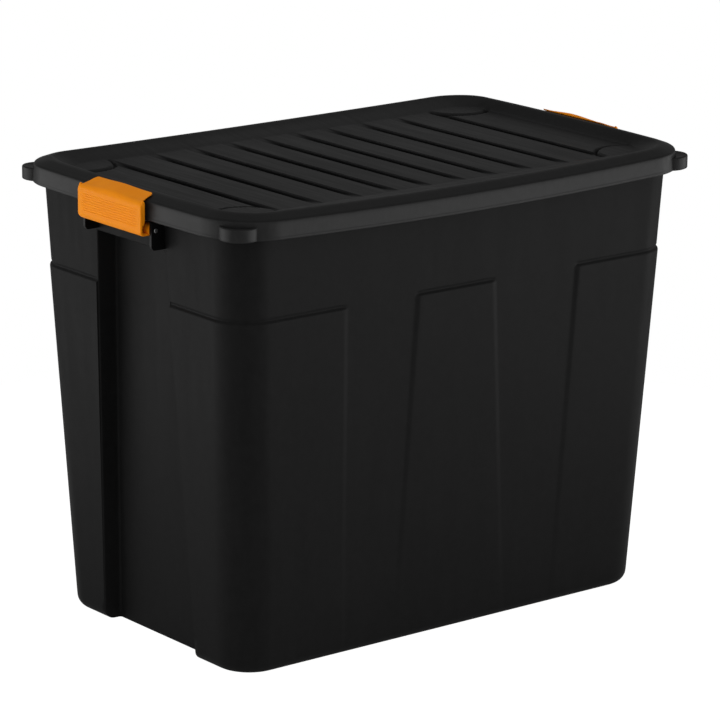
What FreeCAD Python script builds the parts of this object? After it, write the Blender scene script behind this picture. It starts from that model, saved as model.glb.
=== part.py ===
"""Storage tote with a lift-off slatted lid and two swing-over end latches.

Frame: origin at the middle of the underside, +X along the length, +Z up.
The two ends are mirror images, so every end piece is drawn once for the -X end.
All sizes are in millimetres. One STEP file is written for each piece.
"""
import FreeCAD, Part
import os
from math import atan, cos, hypot, pi, sin, tan

V = FreeCAD.Vector
X_AXIS = V(1, 0, 0)
Y_AXIS = V(0, 1, 0)
FAR = 400.0                    # a reach beyond every face, for cutting blocks
BELOW = 20.0                   # how far a cutting block passes under the foot
NEAR = 0.01                    # how close a point must be to count as lying on a line

# Lid outline, at its corners; the sides bow outward to their middles
LID_HALF_LENGTH = 325.0
LID_HALF_WIDTH = 207.0
LID_CORNER_RADIUS = 60.0
BOW_LONG = 9.5
BOW_SHORT = 5.9

# Lid heights and section
SKIRT_BOTTOM = 493.0
SKIRT_TOP = 513.0
RIDGE_TOP = 519.4
SLAT_TOP = 508.5
RIDGE_INSET = 17.0
RIDGE_WIDTH = 6.0
RIDGE_HOLLOW_SHIFT = 0.25      # share of the wall by which the ridge's hollow is narrower
PANEL_HALF_LENGTH = 297.0
PANEL_HALF_WIDTH = 155.0
PANEL_CORNER_RADIUS = 40.0
LID_WALL = 3.0

# Transverse grooves between the slats; the slats widen towards the ends
GROOVE_WIDTH = 11.0
GROOVE_DEPTH = 4.8
GROOVE_HALF_LENGTH = 158.0
FIRST_GROOVE = 24.0
FIRST_PITCH = 46.0
PITCH_GROWTH = 4.0
GROOVES_PER_HALF = 5

# Round corner bosses of the panel, each in a ring-shaped hollow
BOSS_X = 264.0
BOSS_Y = 160.0
BOSS_RADIUS = 28.5
BOSS_TOP = 512.0
MOAT_WIDTH = 9.0
MOAT_DEPTH = 5.0

# Corner ears of the lid skirt
EAR_RADIUS = 20.8
EAR_INSET = 22.1
EAR_TOP = 508.0

# Ribs and rings under the lid; the plug goes inside the tub, the seat rests on its rim
PLUG_GAP = 1.5
PLUG_WALL = 2.5
PLUG_BOTTOM = 494.0
SEAT_INSET = 10.0
SEAT_WALL = 3.0
RIB_WALL = 2.5
RIB_BOTTOM = 498.0
RIB_SPACING = 75.0

# Tub walls; the draft is the outward lean per millimetre of height
FOOT_HALF_LENGTH = 288.8
FOOT_HALF_WIDTH = 170.0
WALL_DRAFT = 0.0466
WALL_CORNER_RADIUS = 43.0
TUB_WALL = 3.0
FLOOR = 3.5
TUB_TOP = 504.0
FOOT_FILLET = 11.0
FLANGE_INSET = 4.5
FLANGE_THICKNESS = 3.0
FLANGE_LIP_WALL = 2.5
FLANGE_LIP_BOTTOM = 495.0

# Channel down the middle of each end wall
CHANNEL_TOP = 457.0
CHANNEL_DEPTH_TOP = 24.0
CHANNEL_DEPTH_FOOT = 20.0
CHANNEL_HALF_TOP = 64.0
CHANNEL_HALF_FOOT = 86.0
CHANNEL_FILLET = 7.0

# Shallow panels raised on the walls; the rise dies out towards the foot
PANEL_TOP = 399.0
PANEL_FOOT = 14.0
RISE_TOP = 1.5
RISE_FOOT = 0.3
MIDDLE_HALF_TOP = 51.0
MIDDLE_HALF_FOOT = 75.0
CORNER_START_TOP = 168.0
CORNER_START_FOOT = 155.0
RISE_FILLET = 5.0

# Underside: a rim to stand on round a shallow hollow with cross ribs
UNDER_HOLLOW = 2.0
UNDER_MARGIN = 34.0
UNDER_CORNER_RADIUS = 22.0
UNDER_RIB_WALL = 6.0
UNDER_RIB_SPACING = 82.0

# Latch hinge
PIN_X = -322.5
PIN_Z = 482.0
PIN_RADIUS = 2.5
PIN_HALF_LENGTH = 64.6
PIN_EDGE_ROUND = 0.5
BORE_CLEARANCE = 0.05
BARREL_RADIUS = 6.5
LUG_INNER = 60.5
LUG_THICKNESS = 3.5
LUG_REACH = 6.0
LUG_TOP = 491.5
LUG_BOTTOM = 460.5
LUG_ROUND = 5.0
WEB_THICKNESS = 2.0
WEB_BOTTOM = 478.5

# Rivets through the bracket's web and the end wall
RIVET_Y = 30.0
RIVET_Z = 485.5
RIVET_RADIUS = 2.0
RIVET_HEAD_RADIUS = 3.8
RIVET_HEAD_HEIGHT = 1.4
RIVET_TAIL_RADIUS = 3.2
RIVET_TAIL_HEIGHT = 1.2

# Latch section, measured out from the pin (reach) and up from it (rise)
LATCH_HALF_WIDTH = 59.5
LATCH_WALL = 3.0
FACE_REACH = 16.5
FLOOR_DROP = 6.5
FLOOR_ROUND = 7.0
LIP_ROUND = 9.0
LIP_GAP = 0.4
LIP_FRONT = -5.5
LIP_HALF_WIDTH = 36.0
TIP_REACH = 0.5
TIP_HALF_WIDTH = 52.5
SHOULDER_REACH = 10.5
SHOULDER_HALF_WIDTH = 55.0
SHOULDER_RISE = 25.0
FACE_CORNER = 7.0
KNUCKLE_GAP = 13.0
KNUCKLE_GAP_REACH = 9.5
GRIP_RIBS = 6
GRIP_PITCH = 3.0
GRIP_FIRST_RISE = 6.0
GRIP_RADIUS = 0.8
GRIP_HALF_WIDTH = 50.0


def box(x0, x1, y0, y1, z0, z1):
    return Part.makeBox(x1 - x0, y1 - y0, z1 - z0, V(x0, y0, z0))


def curve(start, middle, end):
    """A straight edge when the middle point is half way along it, an arc when not."""
    if (middle - (start + end) * 0.5).Length < NEAR:
        return Part.LineSegment(start, end).toShape()
    return Part.Arc(start, middle, end).toShape()


def outline(half_x, half_y, radius, z, bow_long=0.0, bow_short=0.0):
    """Rounded rectangle at height z whose sides bow outward to their middles."""
    end_x = half_x - radius
    end_y = half_y - radius
    side_x = half_x + bow_short * (1 - (end_y / half_y) ** 2)
    side_y = half_y + bow_long * (1 - (end_x / half_x) ** 2)
    lean = atan(2 * bow_long * end_x / half_x ** 2) + atan(2 * bow_short * end_y / half_y ** 2)
    chord = hypot(side_x - end_x, side_y - end_y)
    rise = chord / 2 * tan((pi / 2 - lean) / 4)
    mid_x = (side_x + end_x) / 2 + rise * (side_y - end_y) / chord
    mid_y = (side_y + end_y) / 2 + rise * (side_x - end_x) / chord
    edges = []
    for sx, sy in ((1, -1), (1, 1), (-1, 1), (-1, -1)):
        long_end = V(sx * end_x, sy * side_y, z)
        short_end = V(sx * side_x, sy * end_y, z)
        corner = V(sx * mid_x, sy * mid_y, z)
        if sx * sy < 0:
            edges.append(curve(long_end, corner, short_end))
            far_end = V(short_end.x, -short_end.y, z)
            edges.append(curve(short_end, V(sx * (half_x + bow_short), 0, z), far_end))
        else:
            edges.append(curve(short_end, corner, long_end))
            far_end = V(-long_end.x, long_end.y, z)
            edges.append(curve(long_end, V(0, sy * (half_y + bow_long), z), far_end))
    return Part.Wire(edges)


def loft(*wires):
    return Part.makeLoft(list(wires), True, True)


def prism(points, direction):
    """Solid made by moving a closed polygon along a direction."""
    face = Part.Face(Part.makePolygon(list(points) + [points[0]]))
    return face.extrude(direction)


def fillet_where(shape, radius, test):
    """Round the edges whose first and last points pass the test."""
    edges = [e for e in shape.Edges if test(e.Vertexes[0].Point, e.Vertexes[-1].Point)]
    return shape.makeFillet(radius, edges)


def mirrored(shape):
    """The same piece for the +X end."""
    return shape.mirror(V(0, 0, 0), X_AXIS)


# ---------------------------------------------------------------- tub

def wall_half_x(z):
    return FOOT_HALF_LENGTH + WALL_DRAFT * z


def wall_half_y(z):
    return FOOT_HALF_WIDTH + WALL_DRAFT * z


def wall_block(z0, inset0, z1, inset1, radius):
    """Solid between the leaning walls, inset from them, with round corners."""
    x0 = wall_half_x(z0) - inset0
    x1 = wall_half_x(z1) - inset1
    y0 = wall_half_y(z0) - inset0
    y1 = wall_half_y(z1) - inset1
    side = [V(-x0, -FAR, z0), V(x0, -FAR, z0), V(x1, -FAR, z1), V(-x1, -FAR, z1)]
    end = [V(-FAR, -y0, z0), V(-FAR, y0, z0), V(-FAR, y1, z1), V(-FAR, -y1, z1)]
    length = prism(side, Y_AXIS * 2 * FAR)
    width = prism(end, X_AXIS * 2 * FAR)
    return fillet_where(length.common(width), radius, lambda p, q: abs(p.z - q.z) > 1)


def end_channel(offset):
    """Block that hollows the -X end wall; offset leaves a wall's thickness round it."""
    depth_slope = (CHANNEL_DEPTH_TOP - CHANNEL_DEPTH_FOOT) / CHANNEL_TOP
    half_slope = (CHANNEL_HALF_TOP - CHANNEL_HALF_FOOT) / CHANNEL_TOP
    foot = -BELOW
    top = CHANNEL_TOP + offset

    def sole(z):
        return V(CHANNEL_DEPTH_FOOT + depth_slope * z + offset - wall_half_x(z), -FAR, z)

    def side(z, sign):
        return V(-FAR, sign * (CHANNEL_HALF_FOOT + half_slope * z + offset), z)

    depth = prism([V(-FAR, -FAR, foot), sole(foot), sole(top), V(-FAR, -FAR, top)], Y_AXIS * 2 * FAR)
    width = prism([side(foot, -1), side(foot, 1), side(top, 1), side(top, -1)], X_AXIS * FAR)
    block = depth.common(width)
    inner_x = 1 - FAR
    return fillet_where(block, CHANNEL_FILLET, lambda p, q: (
        min(p.x, q.x) > inner_x and max(p.z, q.z) > foot))


def panel_region(half_foot, half_top, top, to_corner):
    """Slanted block across both long walls, its upper inner corners rounded."""
    far_foot = -FAR if to_corner else -half_foot
    far_top = -FAR if to_corner else -half_top
    region = prism([V(far_foot, -FAR, 0), V(half_foot, -FAR, 0),
                    V(half_top, -FAR, top), V(far_top, -FAR, top)], Y_AXIS * 2 * FAR)
    inside = FAR - 1
    return fillet_where(region, RISE_FILLET, lambda p, q: (
        abs(p.x - q.x) < NEAR and min(p.z, q.z) > top - 1 and abs(p.x) < inside))


def raised_panels(offset):
    """Blocks across the tub whose faces stand a little proud of the walls."""
    top = PANEL_TOP - offset
    radius = WALL_CORNER_RADIUS - offset
    block = wall_block(PANEL_FOOT, offset - RISE_FOOT, top, offset - RISE_TOP, radius)
    middle = panel_region(MIDDLE_HALF_FOOT - offset, MIDDLE_HALF_TOP - offset, top, False)
    corner = panel_region(-CORNER_START_FOOT - offset, -CORNER_START_TOP - offset, top, True)
    return [block.common(region) for region in (middle, corner, mirrored(corner))]


def tub_form(offset, bottom):
    """Outside of the tub for offset 0, its hollow for offset equal to the wall."""
    body = wall_block(bottom, offset, TUB_TOP, offset, WALL_CORNER_RADIUS - offset)
    body = fillet_where(body, FOOT_FILLET - offset, lambda p, q: max(p.z, q.z) < bottom + NEAR)
    channel = end_channel(offset)
    return body.fuse(raised_panels(offset)).cut([channel, mirrored(channel)])


def rim_outline(inset, z):
    radius = LID_CORNER_RADIUS - inset
    return outline(LID_HALF_LENGTH - inset, LID_HALF_WIDTH - inset, radius, z, BOW_LONG, BOW_SHORT)


def rim_block(inset, z0, z1):
    return Part.Face(rim_outline(inset, z0)).extrude(V(0, 0, z1 - z0))


def rim_flange():
    """Outward flange with a turned-down lip, hidden under the lid skirt."""
    plate = rim_block(FLANGE_INSET, FLANGE_LIP_BOTTOM, TUB_TOP)
    relief = rim_block(FLANGE_INSET + FLANGE_LIP_WALL, FLANGE_LIP_BOTTOM, TUB_TOP - FLANGE_THICKNESS)
    return plate.cut(relief)


def underside_hollow():
    half_x = FOOT_HALF_LENGTH - UNDER_MARGIN
    half_y = FOOT_HALF_WIDTH - UNDER_MARGIN
    face = Part.Face(outline(half_x, half_y, UNDER_CORNER_RADIUS, 0))
    hollow = face.extrude(V(0, 0, UNDER_HOLLOW))
    ribs = []
    for index in range(-3, 4):
        x = index * UNDER_RIB_SPACING
        ribs.append(box(x - UNDER_RIB_WALL / 2, x + UNDER_RIB_WALL / 2, -FAR, FAR, 0, UNDER_HOLLOW))
    return hollow.cut(ribs)


def make_tub():
    hollow = tub_form(TUB_WALL, FLOOR + UNDER_HOLLOW)
    tub = tub_form(0.0, 0.0).fuse(rim_flange()).cut([hollow, underside_hollow()])
    holes = rivet_rods(2 * TUB_WALL, TUB_WALL)
    return tub.cut(holes + [mirrored(hole) for hole in holes]).removeSplitter()


# ---------------------------------------------------------------- lid

def groove_centres():
    centres = []
    x = FIRST_GROOVE
    for index in range(GROOVES_PER_HALF):
        centres += [x, -x]
        x += FIRST_PITCH + PITCH_GROWTH * index
    return centres


def groove_cut(x, offset):
    """Channel that is deepest half way and rises to nothing at its two ends."""
    half = GROOVE_HALF_LENGTH + offset
    width = GROOVE_WIDTH / 2 + offset
    level = SLAT_TOP - offset
    top = level + 1.0
    start = V(x - width, -half, level)
    end = V(x - width, half, level)
    sole = Part.Arc(start, V(x - width, 0, level - GROOVE_DEPTH), end).toShape()
    rest = Part.makePolygon([end, V(x - width, half, top), V(x - width, -half, top), start])
    return Part.Face(Part.Wire([sole] + rest.Edges)).extrude(V(2 * width, 0, 0))


def boss_sites():
    return [(sx * BOSS_X, sy * BOSS_Y) for sx in (-1, 1) for sy in (-1, 1)]


def upright(radius, x, y, z0, z1):
    return Part.makeCylinder(radius, z1 - z0, V(x, y, z0))


def lid_form(offset, bottom):
    """Outside of the lid for offset 0, its hollow for offset equal to the wall."""
    skirt = rim_block(offset, bottom, SKIRT_TOP - offset)
    ridge_inset = RIDGE_INSET + offset * RIDGE_HOLLOW_SHIFT
    slope = loft(rim_outline(offset, SKIRT_TOP - offset), rim_outline(ridge_inset, RIDGE_TOP - offset))
    pocket_foot = outline(PANEL_HALF_LENGTH + offset, PANEL_HALF_WIDTH + offset,
                          PANEL_CORNER_RADIUS + offset, SLAT_TOP - offset)
    pocket_top = rim_outline(RIDGE_INSET + RIDGE_WIDTH - offset, RIDGE_TOP - offset)
    pocket = loft(pocket_foot, pocket_top)
    body = skirt.fuse(slope).cut(pocket)
    bosses = []
    moats = []
    for x, y in boss_sites():
        bosses.append(upright(BOSS_RADIUS - offset, x, y, bottom, BOSS_TOP - offset))
        floor = SLAT_TOP - MOAT_DEPTH - offset
        outer = upright(BOSS_RADIUS + MOAT_WIDTH + offset, x, y, floor, RIDGE_TOP)
        moats.append(outer.common(moat_region(offset)))
    grooves = [groove_cut(x, offset) for x in groove_centres()]
    return body.cut(grooves + moats).fuse(bosses)


def moat_region(offset):
    """The moats stay inside the foot of the panel."""
    foot = outline(PANEL_HALF_LENGTH + offset, PANEL_HALF_WIDTH + offset,
                   PANEL_CORNER_RADIUS + offset, SKIRT_BOTTOM)
    return Part.Face(foot).extrude(V(0, 0, FAR))


def corner_ears():
    ears = []
    for sx in (-1, 1):
        for sy in (-1, 1):
            x = sx * (LID_HALF_LENGTH - EAR_INSET)
            y = sy * (LID_HALF_WIDTH - EAR_INSET)
            ears.append((x, y))
    return ears


def plug_block(inset):
    """Drafted block that follows the inside of the tub's wall at a given inset."""
    gap = TUB_WALL + PLUG_GAP + inset
    return wall_block(PLUG_BOTTOM, gap, RIDGE_TOP, gap, WALL_CORNER_RADIUS - gap)


def make_lid():
    outer = lid_form(0.0, SKIRT_BOTTOM)
    hollow = lid_form(LID_WALL, SKIRT_BOTTOM - 1.0)
    outer = outer.fuse([upright(EAR_RADIUS, x, y, SKIRT_BOTTOM, EAR_TOP) for x, y in corner_ears()])
    ear_hollows = [upright(EAR_RADIUS - LID_WALL, x, y, SKIRT_BOTTOM - 1.0, EAR_TOP - LID_WALL)
                   for x, y in corner_ears()]
    shell = outer.cut([hollow] + ear_hollows)
    inside = lid_form(LID_WALL / 2, SKIRT_BOTTOM)
    plug = plug_block(0.0).cut(plug_block(PLUG_WALL)).common(inside)
    seat = rim_block(SEAT_INSET, TUB_TOP, RIDGE_TOP)
    seat = seat.cut(rim_block(SEAT_INSET + SEAT_WALL, TUB_TOP, RIDGE_TOP))
    ribs = []
    for y in (-RIB_SPACING, 0.0, RIB_SPACING):
        rib = box(-FAR, FAR, y - RIB_WALL / 2, y + RIB_WALL / 2, RIB_BOTTOM, SLAT_TOP)
        ribs.append(rib.common(plug_block(PLUG_WALL / 2)).common(inside))
    return shell.fuse([plug, seat.common(inside)] + ribs).removeSplitter()


# ---------------------------------------------------------------- latch hinge

def on_wall(z, out=0.0):
    """Point of the -X end wall's mid line at height z, moved out by a distance."""
    return V(-wall_half_x(z) - out, 0, z)


def slab(points, y0, y1):
    return prism([V(p.x, y0, p.z) for p in points], V(0, y1 - y0, 0))


def hinge_rod(radius, y0, y1):
    return Part.makeCylinder(radius, y1 - y0, V(PIN_X, y0, PIN_Z), Y_AXIS)


def make_bracket():
    """Two lugs on a web that lies flat on the end wall."""
    edge = PIN_X - LUG_REACH
    side = [on_wall(LUG_BOTTOM), on_wall(LUG_TOP), V(edge, 0, LUG_TOP), V(edge, 0, LUG_BOTTOM)]
    lugs = []
    for y0 in (-LUG_INNER - LUG_THICKNESS, LUG_INNER):
        lug = slab(side, y0, y0 + LUG_THICKNESS)
        lugs.append(fillet_where(lug, LUG_ROUND, lambda p, q: (
            max(p.x, q.x) < edge + NEAR and max(p.z, q.z) < LUG_BOTTOM + NEAR)))
    web = slab([on_wall(WEB_BOTTOM), on_wall(LUG_TOP), on_wall(LUG_TOP, WEB_THICKNESS),
                on_wall(WEB_BOTTOM, WEB_THICKNESS)], -LUG_INNER, LUG_INNER)
    bracket = lugs[0].fuse([lugs[1], web]).removeSplitter()
    return bracket.cut([hinge_rod(PIN_RADIUS, -FAR, FAR)] + rivet_rods(TUB_WALL, 2 * WEB_THICKNESS))


def make_pin():
    pin = hinge_rod(PIN_RADIUS, -PIN_HALF_LENGTH, PIN_HALF_LENGTH)
    return fillet_where(pin, PIN_EDGE_ROUND, lambda p, q: abs(p.y - q.y) < NEAR)


def wall_normal():
    return V(-1, 0, -WALL_DRAFT).normalize()


def rivet_rods(inward, outward):
    """Rods of the rivets' radius, from inside the end wall's outer face to outside it."""
    rods = []
    for y in (-RIVET_Y, RIVET_Y):
        start = on_wall(RIVET_Z) + V(0, y, 0) - wall_normal() * inward
        rods.append(Part.makeCylinder(RIVET_RADIUS, inward + outward, start, wall_normal()))
    return rods


def make_rivets():
    rivets = []
    for shank, y in zip(rivet_rods(TUB_WALL, WEB_THICKNESS), (-RIVET_Y, RIVET_Y)):
        face = on_wall(RIVET_Z) + V(0, y, 0)
        head_foot = face + wall_normal() * WEB_THICKNESS
        tail_foot = face - wall_normal() * TUB_WALL
        head = Part.makeCone(RIVET_HEAD_RADIUS, RIVET_RADIUS, RIVET_HEAD_HEIGHT, head_foot, wall_normal())
        tail = Part.makeCone(RIVET_TAIL_RADIUS, RIVET_RADIUS, RIVET_TAIL_HEIGHT, tail_foot, -wall_normal())
        rivets.append(shank.fuse([head, tail]))
    return Part.makeCompound(rivets)


# ---------------------------------------------------------------- latch

def latch_point(reach, rise, y=0.0):
    return V(PIN_X - reach, y, PIN_Z + rise)


def slope_angle():
    return atan((RIDGE_TOP - SKIRT_TOP) / RIDGE_INSET)


def lip_rise(reach, gap):
    """Height of a line at a given gap above the lid's sloping top."""
    edge_reach = LID_HALF_LENGTH + BOW_SHORT + PIN_X
    edge_rise = SKIRT_TOP - PIN_Z
    return edge_rise + gap / cos(slope_angle()) + (edge_reach - reach) * tan(slope_angle())


def lip_bend(reach, gap, radius):
    """Start, middle and end of the bend from the face into the lip."""
    turn = pi / 2 - slope_angle()
    tangent = radius * tan(turn / 2)
    corner_rise = lip_rise(reach, gap)
    start = latch_point(reach, corner_rise - tangent)
    end = latch_point(reach - tangent * cos(slope_angle()), corner_rise + tangent * sin(slope_angle()))
    centre_reach = reach - radius
    centre_rise = corner_rise - tangent
    middle = latch_point(centre_reach + radius * cos(turn / 2), centre_rise + radius * sin(turn / 2))
    return start, middle, end


def floor_bend(reach, drop, radius):
    half = radius * cos(pi / 4)
    start = latch_point(reach - radius, -drop)
    middle = latch_point(reach - radius + half, -drop + radius - half)
    end = latch_point(reach, -drop + radius)
    return start, middle, end


def latch_section():
    """Closed outline of the latch wall, from hinge barrel round to the lip."""
    inner_reach = FACE_REACH - LATCH_WALL
    outer_floor = floor_bend(FACE_REACH, FLOOR_DROP, FLOOR_ROUND)
    inner_floor = floor_bend(inner_reach, FLOOR_DROP - LATCH_WALL, FLOOR_ROUND - LATCH_WALL)
    outer_lip = lip_bend(FACE_REACH, LIP_GAP + LATCH_WALL, LIP_ROUND)
    inner_lip = lip_bend(inner_reach, LIP_GAP, LIP_ROUND - LATCH_WALL)
    front_top = latch_point(LIP_FRONT, lip_rise(LIP_FRONT, LIP_GAP + LATCH_WALL))
    front_foot = latch_point(LIP_FRONT, lip_rise(LIP_FRONT, LIP_GAP))
    line = Part.makeLine
    return Part.Wire([
        line(latch_point(0, -FLOOR_DROP), outer_floor[0]),
        curve(*outer_floor),
        line(outer_floor[2], outer_lip[0]),
        curve(*outer_lip),
        line(outer_lip[2], front_top),
        line(front_top, front_foot),
        line(front_foot, inner_lip[2]),
        curve(*inner_lip),
        line(inner_lip[0], inner_floor[2]),
        curve(*inner_floor),
        line(inner_floor[0], latch_point(0, LATCH_WALL - FLOOR_DROP)),
        line(latch_point(0, LATCH_WALL - FLOOR_DROP), latch_point(0, -FLOOR_DROP)),
    ])


def lip_plan():
    """What is kept of the latch above its face: a tongue with cut-back ends."""
    half_plan = [
        (FACE_REACH + 1, LATCH_HALF_WIDTH),
        (FACE_REACH - 1, LATCH_HALF_WIDTH),
        (SHOULDER_REACH, SHOULDER_HALF_WIDTH),
        (TIP_REACH, TIP_HALF_WIDTH),
        (LIP_FRONT - 0.1, LIP_HALF_WIDTH),
    ]
    near = [latch_point(reach, SHOULDER_RISE, -y) for reach, y in half_plan]
    far = [latch_point(reach, SHOULDER_RISE, y) for reach, y in reversed(half_plan)]
    return prism(near + far, V(0, 0, FACE_REACH * 2))


def face_corner_cuts():
    """Round off the lower corners of the face, clear of the hinge barrel."""
    cuts = []
    foot = PIN_Z - FLOOR_DROP
    for side in (-1, 1):
        y = side * (LATCH_HALF_WIDTH - FACE_CORNER)
        low = min(y, side * LATCH_HALF_WIDTH)
        start = latch_point(FACE_REACH + 1, 0)
        depth = FACE_REACH + 1 - BARREL_RADIUS - 1
        block = Part.makeBox(depth, FACE_CORNER, FACE_CORNER, V(start.x, low, foot))
        round_off = Part.makeCylinder(FACE_CORNER, depth, V(start.x, y, foot + FACE_CORNER), X_AXIS)
        cuts.append(block.cut(round_off))
    return cuts


def make_latch():
    wall = Part.Face(latch_section()).extrude(V(0, 2 * LATCH_HALF_WIDTH, 0))
    wall.translate(V(0, -LATCH_HALF_WIDTH, 0))
    below = box(PIN_X - FAR, PIN_X + FAR, -LATCH_HALF_WIDTH, LATCH_HALF_WIDTH,
                0, PIN_Z + SHOULDER_RISE)
    wall = wall.common(below.fuse(lip_plan()))
    barrel = hinge_rod(BARREL_RADIUS, -LATCH_HALF_WIDTH, LATCH_HALF_WIDTH)
    ribs = []
    for index in range(GRIP_RIBS):
        centre = latch_point(FACE_REACH, GRIP_FIRST_RISE + index * GRIP_PITCH, -GRIP_HALF_WIDTH)
        ribs.append(Part.makeCylinder(GRIP_RADIUS, 2 * GRIP_HALF_WIDTH, centre, Y_AXIS))
    cuts = face_corner_cuts()
    cuts.append(hinge_rod(PIN_RADIUS + BORE_CLEARANCE, -FAR, FAR))
    high = 2 * BARREL_RADIUS
    for y in (-RIVET_Y, RIVET_Y):
        cuts.append(box(PIN_X - KNUCKLE_GAP_REACH, PIN_X + high, y - KNUCKLE_GAP / 2,
                        y + KNUCKLE_GAP / 2, PIN_Z - high, PIN_Z + high))
    return wall.fuse([barrel] + ribs).cut(cuts).removeSplitter()


# ---------------------------------------------------------------- export

def main():
    os.makedirs("parts", exist_ok=True)
    pieces = {"tub": make_tub(), "lid": make_lid()}
    end_pieces = {
        "latch": make_latch(),
        "latch_pin": make_pin(),
        "latch_bracket": make_bracket(),
        "bracket_rivets": make_rivets(),
    }
    for name, shape in end_pieces.items():
        pieces[name + "_left"] = shape
        pieces[name + "_right"] = mirrored(shape)
    for name, shape in pieces.items():
        shape.exportStep("parts/" + name + ".step")


main()
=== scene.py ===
from math import cos, pi, radians, sin

import bmesh
import bpy
import numpy as np
from mathutils import Matrix, Vector


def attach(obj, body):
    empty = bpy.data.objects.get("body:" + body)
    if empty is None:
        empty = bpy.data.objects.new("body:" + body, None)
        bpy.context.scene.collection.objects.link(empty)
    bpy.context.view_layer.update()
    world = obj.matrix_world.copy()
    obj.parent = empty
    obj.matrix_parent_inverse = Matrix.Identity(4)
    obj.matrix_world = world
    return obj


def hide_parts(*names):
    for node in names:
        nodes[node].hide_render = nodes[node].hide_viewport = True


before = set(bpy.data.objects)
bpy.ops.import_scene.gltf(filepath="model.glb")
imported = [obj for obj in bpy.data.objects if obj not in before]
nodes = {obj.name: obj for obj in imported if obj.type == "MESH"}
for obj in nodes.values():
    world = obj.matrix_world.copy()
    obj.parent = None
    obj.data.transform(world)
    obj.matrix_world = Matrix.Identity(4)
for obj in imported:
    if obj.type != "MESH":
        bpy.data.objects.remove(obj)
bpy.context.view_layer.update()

# Camera, in metres, degrees and millimetres of lens; azimuth 0 looks along +Y
CAMERA_PLACE = Vector((-2.65035, -3.35909, 1.42290))
CAMERA_AZIMUTH = -38.329
CAMERA_ELEVATION = 15.019
CAMERA_ROLL = 0.474
CAMERA_LENS = 195.0
CAMERA_SENSOR = 36.0
CAMERA_REACH = 100.0

# Studio: what the floor and the surround give as light; to the eye both are white
FLOOR_RADIUS = 1.0
FLOOR_SIDES = 96
FLOOR_WHITE = 1.0
FLOOR_SHADOW = 0.2
FLOOR_BOUNCE = 0.85
FLOOR_GLOW = 0.15
SURROUND = 0.42
OVERHEAD = 0.62
OVERHEAD_START = (0.3, 0.65)
BEHIND = 0.5
BEHIND_START = (0.2, 0.7)
LEFT_LIGHT = 2.2
RIGHT_LIGHT = 2.5
SIDE_EDGE = 0.76
SIDE_FULL = 0.94
SIDE_TOP = (0.0, 0.36)

# Materials
DEEP_ORANGE = (0.95, 0.275, 0.004, 1.0)
PALE_ORANGE = (0.99, 0.315, 0.007, 1.0)
GRAIN_DEPTH = 0.00005
LINE_DEPTH = 0.00004
PLASTIC_IOR = 1.49
# Painted shade down in the lid's grooves (its factor, heights and box), and painted sheen on the lid's
# upright faces (its factor)
GROOVE_PAINTED_SHADE = 0.34
PAINTED_SHADE_HEIGHT = (0.5055, 0.5083)
PAINTED_SHADE_HALF = (0.304, 0.162)
SKIRT_PAINTED_SHEEN = 1.8

# The object in millimetres. Pairs of a tapered size are at the foot and at the top.
MM = 0.001
SHARP_ANGLE = 50.0
TINY = 0.01

# Lid
LID_HALF = (324.9, 206.9)
LID_RADIUS = 60.0
LID_BOW = (5.8, 9.4)
LID_WALL = 3.0
RIM_SAG = 4.5
RIM_SAG_REACH = (150.0, 189.9)
SKIRT_BOTTOM = 493.0
SKIRT_TOP = 513.0
SKIRT_CURVE = 1.1
SKIRT_WAIST = 496.0
BEAD = 0.5
RIDGE_TOP = 519.4
RIDGE_INSET = 23.0
RIDGE_CREST = 20.0
RIDGE_FALL = 17.0
SLAT_TOP = 508.5
SLAT_CROWN = 0.25
WELL_HALF = (297.0, 155.0)
WELL_RADIUS = 40.0
WELL_EDGE = (-2.0, 0.5)
GROOVE_CENTRES = (24.0, 70.0, 120.0, 174.0, 232.0)
GROOVE_HALF_WIDTH = 6.6
GROOVE_SIDE = 1.5
GROOVE_DEPTH = 6.5
GROOVE_HALF_LENGTH = 158.0
BOSS_PLACE = (270.0, 155.0)
BOSS_RADIUS = 37.0
BOSS_TOP = 509.6
BOSS_EDGE = 0.25
BOSS_WALL = 12.0
BOSS_STEP = 2.1
MOAT_WIDTH = 4.6
MOAT_DEPTH = 3.6
MOAT_SIDE = 1.6
EAR_PLACE = (302.8, 184.8)
EAR_RADIUS = 20.7
EAR_TOP = 508.0
EAR_BOTTOM = 493.15
SEAT_INSET = 10.0
PLUG_GAP = 1.6
PLUG_BOTTOM = 494.2
PLUG_TOP = 507.0
SEAT_TOP = 512.0
UNDER_RIB_ROWS = (-75.0, 0.0, 75.0)
UNDER_RIB_HALF_LENGTH = 303.0
UNDER_RIB_HALF_WIDTH = 1.2
UNDER_RIB_BOTTOM = 498.1
UNDER_RIB_TOP = 503.75

# Tub
FOOT_HALF = (288.8, 170.0)
FOOT_FILLET = 11.0
WALL_DRAFT = 0.0466
WALL_RADIUS = 43.0
TUB_WALL = 3.0
TUB_FLOOR = 5.5
TUB_TOP = 504.0
FLANGE_UNDER = 501.0
FLANGE_LIP = 495.0
FLANGE_INSET = 4.6
CHANNEL_TOP = 457.0
CHANNEL_DEPTH = (20.0, 24.0)
CHANNEL_HALF = (86.0, 64.0)
CHANNEL_FILLET = 3.0
CHANNEL_LEAN = 1.5
CHANNEL_LIP = 1.6
CHANNEL_BLEND = 0.5
PANEL_TOP = 399.0
PANEL_FOOT = 14.0
PANEL_FADE = 5.0
PANEL_RISE = (0.5, 2.0)
PANEL_ROUND = 5.0
PANEL_SOFT = 4.2
PANEL_TOP_SHARPNESS = 1.5
PANEL_GROOVE = 1.1
PANEL_GROOVE_LOWER = (-1.2, 1.0)
PANEL_GROOVE_UPPER = (1.2, 5.0)
MIDDLE_HALF = (78.5, 54.0)
MIDDLE_LEAN = 11.0
MIDDLE_REACH = (90.0, 140.0)
MIDDLE_FADE = 405.0
CORNER_START = (150.0, 163.5)
UNDER_HOLLOW = 2.0
UNDER_MARGIN = 34.0
UNDER_RIB = 6.0
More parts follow.
